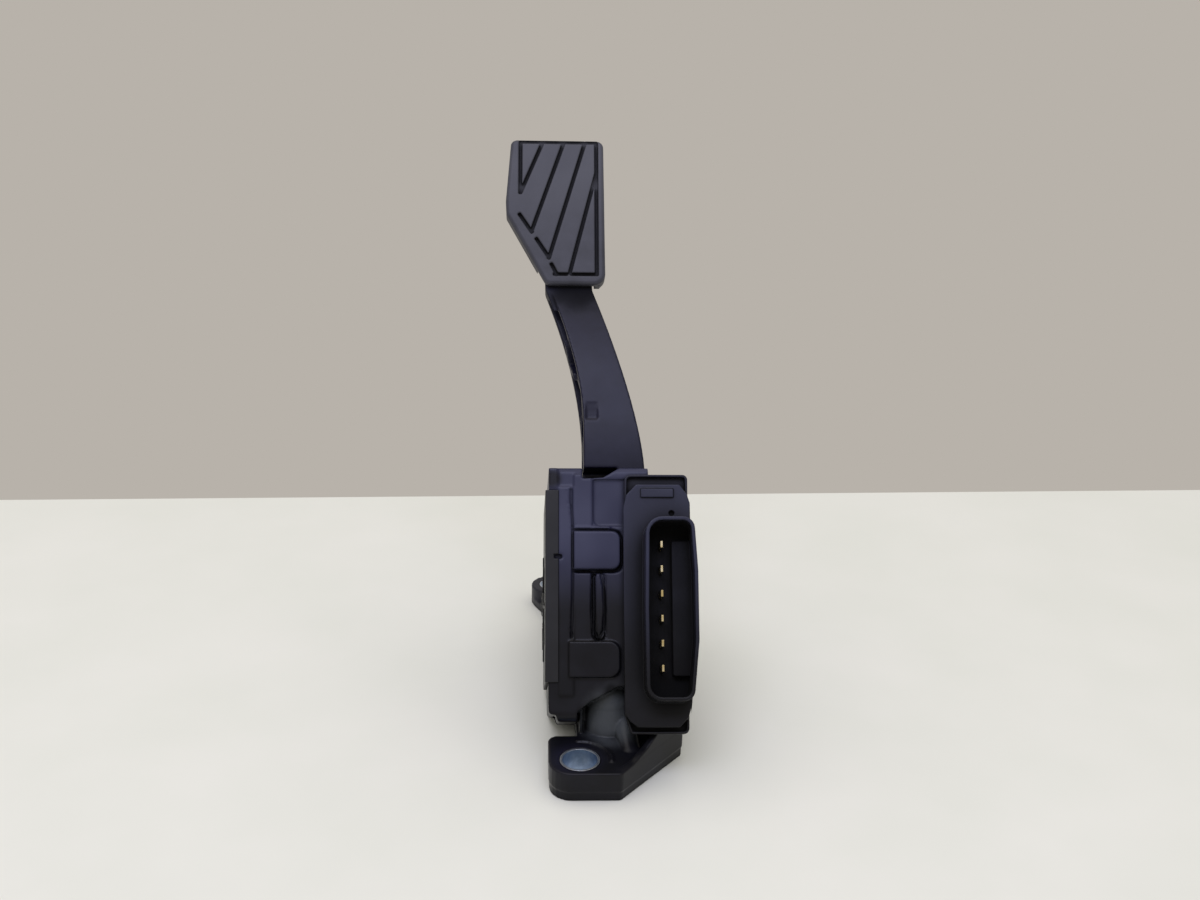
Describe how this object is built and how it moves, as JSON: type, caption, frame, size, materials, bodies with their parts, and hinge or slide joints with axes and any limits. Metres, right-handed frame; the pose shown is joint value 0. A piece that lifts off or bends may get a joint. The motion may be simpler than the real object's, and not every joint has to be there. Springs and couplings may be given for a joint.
{
  "type": "accelerator pedal",
  "caption": "Floor-mounted accelerator pedal module with a ribbed arm, a grooved rubber pad, a sprung pivot and a position sensor with a forward connector.",
  "frame": {"origin": "axis of the front bolt collar, on the mounting plane under the foot", "axes": "+Z along the bolt axes away from the mounting plane, +Y from the front bolt towards the rear bolt, away from the driver, +X to the driver's right along the pedal pivot"},
  "size_m": [0.0735, 0.1711, 0.2135],
  "materials": {
    "housing_plastic": "fine spark-eroded moulded surface",
    "cover_plastic": "fine spark-eroded moulded surface",
    "arm_plastic": "satin glass-filled moulding",
    "sensor_plastic": "satin moulded surface",
    "connector_plastic": "satin moulded surface",
    "rotor_plastic": "smooth moulded acetal",
    "bush_plastic": "smooth moulded bearing resin",
    "friction_lining": "pressed friction lining",
    "stop_rubber": "moulded rubber",
    "seal_rubber": "moulded rubber",
    "pad_rubber": "matt moulded rubber with slight wear",
    "zinc_steel": "blue zinc plating",
    "yoke_steel": "plain pressed steel",
    "magnet": "sintered magnet",
    "spring_steel": "drawn spring wire",
    "chip_resin": "moulded epoxy",
    "board_laminate": "glass laminate with solder resist",
    "terminal_metal": "plated brass"
  },
  "bodies": {
    "base": {"support_base": "housing_plastic", "side_cover": "cover_plastic", "front_collar": "zinc_steel", "rear_collar": "zinc_steel", "bush_left": "bush_plastic", "bush_right": "bush_plastic", "friction_washer_left": "friction_lining", "friction_washer_right": "friction_lining", "idle_stop": "stop_rubber", "full_stop": "stop_rubber", "sensor_housing": "sensor_plastic", "hall_holder": "rotor_plastic", "hall_elements": "chip_resin", "circuit_board": "board_laminate", "hall_leads": "terminal_metal", "sensor_seal": "seal_rubber", "connector_cap": "connector_plastic", "terminals": "terminal_metal", "sensor_screws": "zinc_steel", "outer_spring": "spring_steel", "inner_spring": "spring_steel"},
    "pedal": {"pedal_arm": "arm_plastic", "pedal_pad": "pad_rubber", "pivot_shaft": "zinc_steel", "spring_rotor": "rotor_plastic", "spring_seat": "rotor_plastic", "magnet_yoke": "yoke_steel", "magnets": "magnet"}
  },
  "joints": [
    {"name": "pedal_pivot", "type": "hinge", "parent": "base", "child": "pedal", "pos_m": [0, 0.062, 0.042], "axis": [-1, 0, 0], "range_deg": [0, 16], "stiffness_Nm_per_rad": 2.2, "springref_deg": -51.57, "deforming": ["outer_spring", "inner_spring"]}
  ]
}
